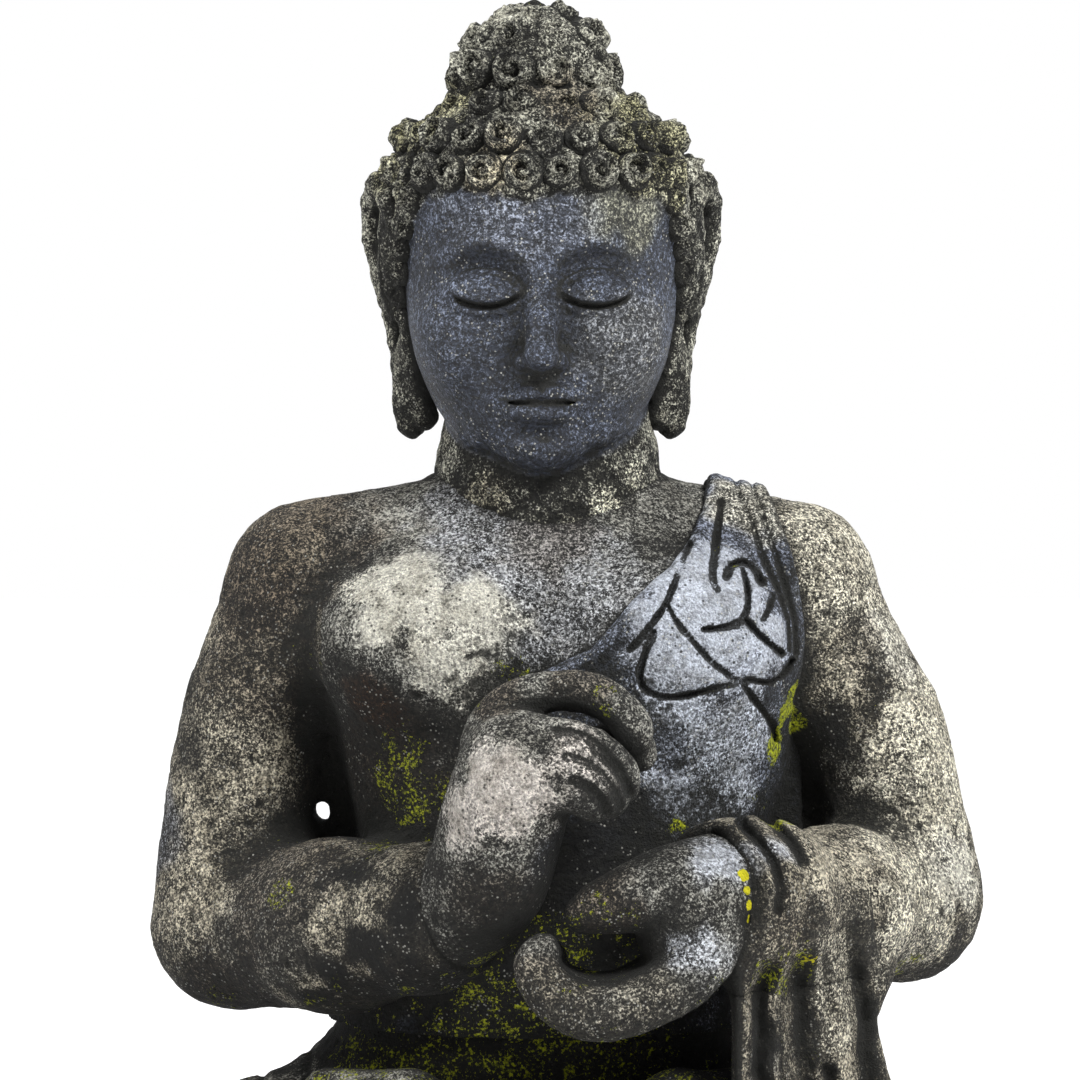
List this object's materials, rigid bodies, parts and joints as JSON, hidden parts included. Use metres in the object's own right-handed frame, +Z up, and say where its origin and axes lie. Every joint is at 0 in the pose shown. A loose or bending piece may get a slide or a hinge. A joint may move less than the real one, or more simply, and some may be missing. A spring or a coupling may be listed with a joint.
{
  "type": "seated buddha garden statue",
  "caption": "Weathered stone Buddha seated cross-legged on a lotus base, hands before the chest in the teaching gesture, robe over the left shoulder.",
  "frame": {"origin": "centre of the underside of the plinth, on the surface the statue stands on", "axes": "+Z up along the figure, the figure faces -Y, its own right hand is on -X"},
  "size_m": [0.8, 0.5758, 1.0598],
  "materials": {
    "weathered_stone": "rough weathered cast stone with lichen and moss",
    "face_stone": "smooth dark slate-grey stone with pale speckles",
    "hair_stone": "rough crusted stone curls",
    "robe_stone": "pale blue-grey weathered stone",
    "base_stone": "rough mossy stone",
    "mortar": "pale lime mortar",
    "dowel_steel": "plain steel bar"
  },
  "bodies": {
    "root": {"plinth_slab": "base_stone", "slab_mortar": "mortar", "lotus_seat": "base_stone", "seat_mortar": "mortar", "crossed_legs": "robe_stone", "waist_mortar": "mortar", "torso": "weathered_stone", "shoulder_robe": "robe_stone", "right_arm": "weathered_stone", "left_arm": "weathered_stone", "robe_cuff": "robe_stone", "robe_tail": "robe_stone", "right_hand": "weathered_stone", "left_hand": "weathered_stone", "neck_mortar": "mortar", "head": "face_stone", "right_ear": "hair_stone", "left_ear": "hair_stone", "front_curls": "hair_stone", "right_curls": "hair_stone", "left_curls": "hair_stone", "back_curls": "hair_stone", "topknot": "hair_stone", "topknot_curls": "hair_stone", "neck_dowel": "dowel_steel", "topknot_pin": "dowel_steel", "waist_dowels": "dowel_steel", "seat_dowels": "dowel_steel", "shoulder_dowels": "dowel_steel", "wrist_pins": "dowel_steel"}
  },
  "joints": []
}
